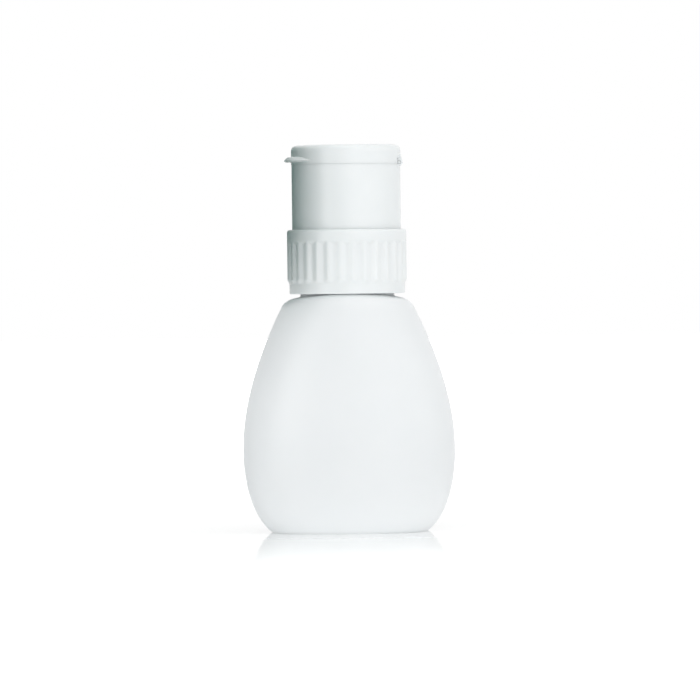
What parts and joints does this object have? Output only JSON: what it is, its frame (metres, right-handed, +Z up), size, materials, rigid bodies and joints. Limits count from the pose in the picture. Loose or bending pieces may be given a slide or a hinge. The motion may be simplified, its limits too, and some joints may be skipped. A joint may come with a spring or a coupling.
{
  "type": "push-down pump bottle",
  "caption": "Egg-shaped oval bottle with a ribbed screw collar and a round press-down pump head, whose dish wets a pad under a hinged flip lid with a thumb tab.",
  "frame": {"origin": "middle of the foot of the bottle, on the surface that it stands on", "axes": "+Z up along the pump's axis, +X towards the lid's hinge, -X towards its thumb tab, -Y towards the viewer"},
  "size_m": [0.068, 0.047, 0.1235],
  "materials": {
    "bottle_plastic": "satin white, blow-moulded",
    "cap_plastic": "smooth white, injection-moulded",
    "pump_plastic": "natural, milky",
    "seal": "soft, pale",
    "steel": "bright stainless"
  },
  "bodies": {
    "bottle": {"bottle": "bottle_plastic"},
    "pump": {"neck_gasket": "seal", "pump_chamber": "pump_plastic", "stem_guide": "pump_plastic", "dip_tube": "pump_plastic", "return_spring": "steel"},
    "collar": {"collar": "cap_plastic"},
    "inlet_ball": {"inlet_ball": "steel"},
    "plunger": {"piston": "seal", "lower_stem": "pump_plastic", "upper_stem": "pump_plastic"},
    "outlet_ball": {"outlet_ball": "steel"},
    "head": {"head_shell": "cap_plastic", "pad_dish": "cap_plastic"},
    "lid": {"flip_lid": "cap_plastic"}
  },
  "joints": [
    {"name": "pump_rise", "type": "slide", "parent": "bottle", "child": "pump", "axis": [0, 0, 1], "range_m": [0, 0.0053]},
    {"name": "collar_turn", "type": "hinge", "parent": "pump", "child": "collar", "pos_m": [0, 0, 0.086], "axis": [0, 0, 1], "range_deg": [0, 450]},
    {"name": "inlet_ball_lift", "type": "slide", "parent": "pump", "child": "inlet_ball", "axis": [0, 0, 1], "range_m": [0, 0.0012]},
    {"name": "pump_press", "type": "slide", "parent": "pump", "child": "plunger", "axis": [0, 0, -1], "range_m": [0, 0.0055], "stiffness_N_per_m": 1200, "springref_m": -0.0035, "deforming": ["return_spring"]},
    {"name": "outlet_ball_lift", "type": "slide", "parent": "plunger", "child": "outlet_ball", "axis": [0, 0, 1], "range_m": [0, 0.0012]},
    {"name": "head_turn", "type": "hinge", "parent": "plunger", "child": "head", "pos_m": [0, 0, 0.1], "axis": [0, 0, 1], "continuous": true},
    {"name": "lid_flip", "type": "hinge", "parent": "head", "child": "lid", "pos_m": [0.01705, 0, 0.1178], "axis": [0, 1, 0], "range_deg": [0, 135]}
  ],
  "couplings": [
    {"joint": "pump_rise", "follows": "collar_turn", "m_per_rad": 0.00067323}
  ]
}
